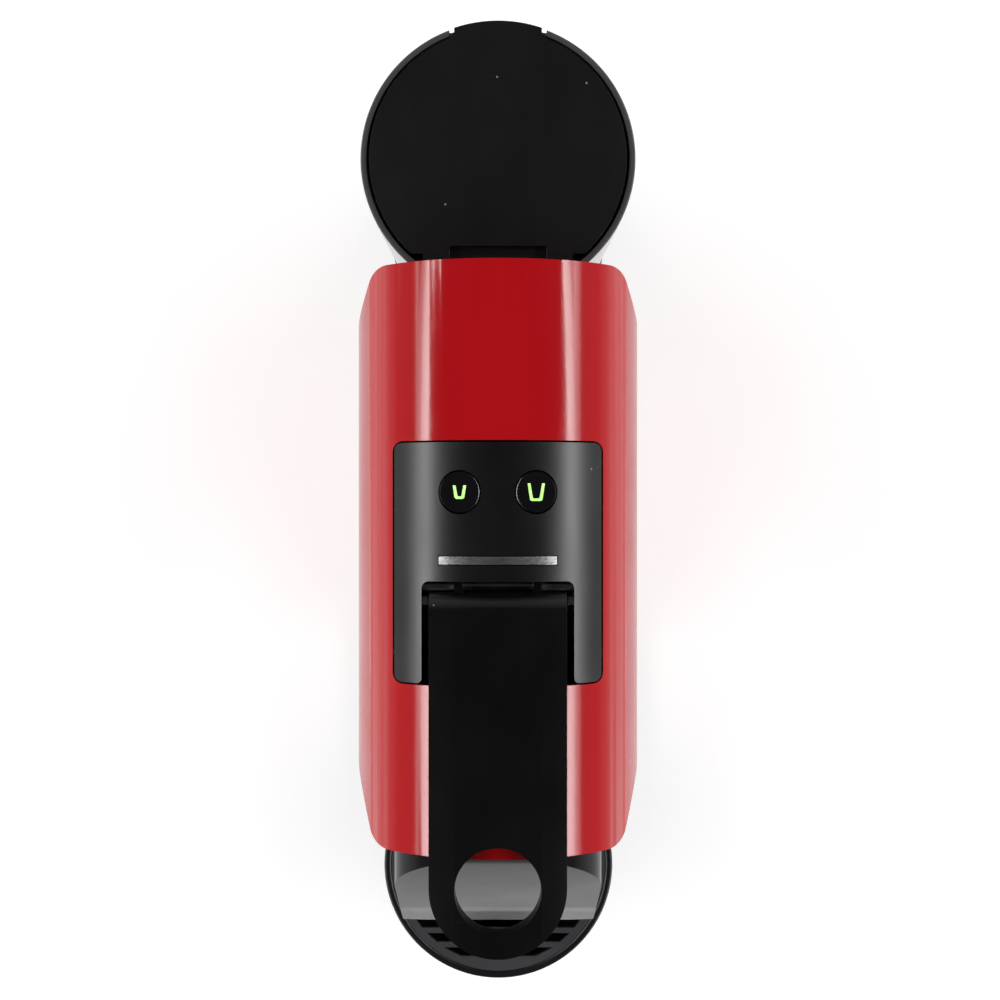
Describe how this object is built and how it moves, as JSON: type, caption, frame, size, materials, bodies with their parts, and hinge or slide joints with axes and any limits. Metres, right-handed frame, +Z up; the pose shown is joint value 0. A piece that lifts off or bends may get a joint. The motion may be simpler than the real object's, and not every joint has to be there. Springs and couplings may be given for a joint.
{
  "type": "pod coffee machine",
  "caption": "Slim capsule coffee machine: red arched shell, top lever with finger ring, lit cup buttons, round lift-off tank behind, slide-out capsule container and round drip tray in front.",
  "frame": {"origin": "on the floor, under the middle of the machine's box", "axes": "+Z up, -Y towards the front with the drip tray, +Y towards the water tank, X across"},
  "size_m": [0.084, 0.3188, 0.204],
  "materials": {
    "red_shell": "high gloss, moulded, lacquer-like red",
    "satin_black": "satin moulded black",
    "gloss_black": "polished black",
    "dark_grey": "fine moulded grain",
    "smoky_clear": "smoky clear plastic",
    "silver_trim": "satin silver",
    "light_guide": "frosted light guide, lit green",
    "steel": "satin",
    "cast_alloy": "die cast",
    "rubber": "matte",
    "silicone": "milky",
    "white_plastic": "natural nylon",
    "board_green": "solder mask",
    "coil_wrap": "taped coil in a steel yoke"
  },
  "bodies": {
    "machine": {"base": "satin_black", "base_screw_1": "steel", "base_screw_2": "steel", "brew_frame": "dark_grey", "brew_hose": "silicone", "capsule_chute": "dark_grey", "capsule_guide": "satin_black", "coffee_outlet": "dark_grey", "control_board": "board_green", "control_panel": "satin_black", "cord_gland": "rubber", "extraction_plate": "steel", "flowmeter_body": "white_plastic", "flowmeter_cover": "white_plastic", "foot_1": "rubber", "foot_2": "rubber", "foot_3": "rubber", "foot_4": "rubber", "front_nose": "gloss_black", "head_floor": "satin_black", "heater_hose": "silicone", "inlet_hose": "silicone", "lever_axle": "steel", "plate_seal": "silicone", "power_board": "board_green", "pump_body": "white_plastic", "pump_coil": "coil_wrap", "pump_hose": "silicone", "pump_mount_lower": "rubber", "pump_mount_upper": "rubber", "rear_cover": "satin_black", "rocker_pivot_left": "steel", "rocker_pivot_right": "steel", "shell": "red_shell", "tank_seat": "dark_grey", "thermoblock": "cast_alloy", "trim_bar": "silver_trim"},
    "lever": {"lever_cover": "satin_black", "lever_arm": "steel", "crank_pin": "steel"},
    "rockers": {"rocker_left": "steel", "rocker_right": "steel"},
    "cage": {"capsule_cage": "dark_grey", "piercing_blades": "steel", "cage_inlet": "steel"},
    "button_small": {"button_small_cup": "gloss_black", "icon_small": "light_guide"},
    "button_large": {"button_large_cup": "gloss_black", "icon_large": "light_guide"},
    "tank": {"water_tank": "smoky_clear", "tank_valve_body": "dark_grey"},
    "lid": {"tank_lid": "satin_black"},
    "poppet": {"valve_poppet": "silicone"},
    "flow_rotor": {"flowmeter_rotor": "dark_grey"},
    "waste_module": {"capsule_container": "satin_black", "drip_base": "satin_black"},
    "cup_rest": {"cup_support": "satin_black", "drip_grid": "dark_grey"}
  },
  "joints": [
    {"name": "lever_hinge", "type": "hinge", "parent": "machine", "child": "lever", "pos_m": [0, -0.0175, 0.1955], "axis": [-1, 0, 0], "range_deg": [0, 90]},
    {"name": "rocker_hinge", "type": "hinge", "parent": "machine", "child": "rockers", "pos_m": [0, -0.0175, 0.166], "axis": [1, 0, 0], "range_deg": [0, 53.7]},
    {"name": "cage_slide", "type": "slide", "parent": "machine", "child": "cage", "axis": [0, 1, 0], "range_m": [0, 0.0223]},
    {"name": "button_small_press", "type": "slide", "parent": "machine", "child": "button_small", "axis": [0.2571, 0, -0.9664], "range_m": [0, 0.001], "stiffness_N_per_m": 600},
    {"name": "button_large_press", "type": "slide", "parent": "machine", "child": "button_large", "axis": [-0.2571, 0, -0.9664], "range_m": [0, 0.001], "stiffness_N_per_m": 600},
    {"name": "tank_lift", "type": "slide", "parent": "machine", "child": "tank", "axis": [0, 0, 1], "range_m": [0, 0.17]},
    {"name": "lid_hinge", "type": "hinge", "parent": "tank", "child": "lid", "pos_m": [0, 0.0858, 0.1668], "axis": [1, 0, 0], "range_deg": [0, 80]},
    {"name": "poppet_lift", "type": "slide", "parent": "tank", "child": "poppet", "axis": [0, 0, 1], "range_m": [0, 0.003], "stiffness_N_per_m": 60},
    {"name": "flow_rotor_spin", "type": "hinge", "parent": "machine", "child": "flow_rotor", "pos_m": [0.018, 0.047, 0.03], "axis": [0, 0, 1], "continuous": true},
    {"name": "waste_module_slide", "type": "slide", "parent": "machine", "child": "waste_module", "axis": [0, -1, 0], "range_m": [0, 0.12]},
    {"name": "cup_rest_lift", "type": "slide", "parent": "waste_module", "child": "cup_rest", "axis": [0, 0, 1], "range_m": [0, 0.05]}
  ],
  "couplings": [
    {"joint": "rocker_hinge", "follows": "lever_hinge", "ratio": 0.59548},
    {"joint": "cage_slide", "follows": "lever_hinge", "m_per_rad": 0.014148}
  ]
}
